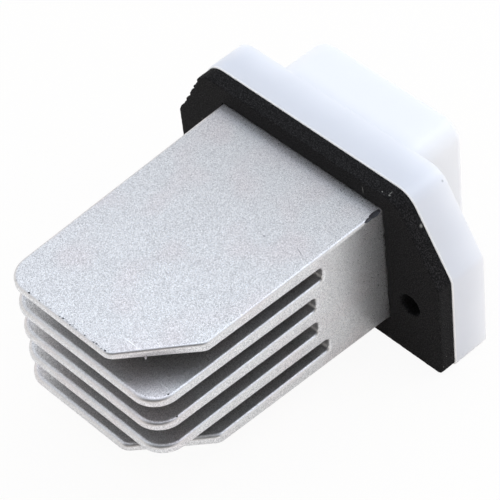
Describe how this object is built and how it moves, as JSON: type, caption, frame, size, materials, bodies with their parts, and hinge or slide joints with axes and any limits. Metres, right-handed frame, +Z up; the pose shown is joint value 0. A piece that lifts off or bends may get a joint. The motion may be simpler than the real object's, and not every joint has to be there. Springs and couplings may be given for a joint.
{
  "type": "blower motor resistor",
  "caption": "Finned die-cast heat sink on a white moulded flange with a foam gasket, screw holes and a rear plug socket; it sets the speed of a vehicle's blower motor.",
  "frame": {"origin": "midway between the two flange screw holes, on the gasket's sealing face", "axes": "+Y out of the rear plug socket with the fins along -Y, +Z up across the fins, +X along the line of the screw holes"},
  "size_m": [0.0664, 0.0753, 0.0382],
  "materials": {
    "cast_aluminium": "die-cast and bead-blasted, fine matt grain",
    "foam": "closed-cell foam, die-cut edges",
    "white_plastic": "natural white nylon, moulded, slightly translucent",
    "plated_steel": "zinc plated",
    "pad_rubber": "silicone sheet",
    "tinned_copper": "tin plated",
    "black_epoxy": "moulded",
    "bush_plastic": "moulded",
    "board_laminate": "glass laminate with solder resist",
    "tan_ceramic": "fired",
    "dark_sleeve": "shrunk sleeve",
    "tinned_brass": "stamped and tin plated"
  },
  "bodies": {
    "root": {"heat_sink": "cast_aluminium", "gasket": "foam", "housing": "white_plastic", "sink_screws": "plated_steel", "insulating_pad": "pad_rubber", "transistor_tab": "tinned_copper", "transistor_case": "black_epoxy", "insulating_bush": "bush_plastic", "spring_washer": "plated_steel", "transistor_screw": "plated_steel", "circuit_board": "board_laminate", "control_chip": "black_epoxy", "chip_resistors": "black_epoxy", "chip_capacitors": "tan_ceramic", "filter_capacitor": "dark_sleeve", "suppressor_diode": "black_epoxy", "thermal_fuse": "tinned_copper", "motor_terminal": "tinned_brass", "ground_terminal": "tinned_brass", "control_terminal": "tinned_brass", "feedback_terminal": "tinned_brass"}
  },
  "joints": []
}
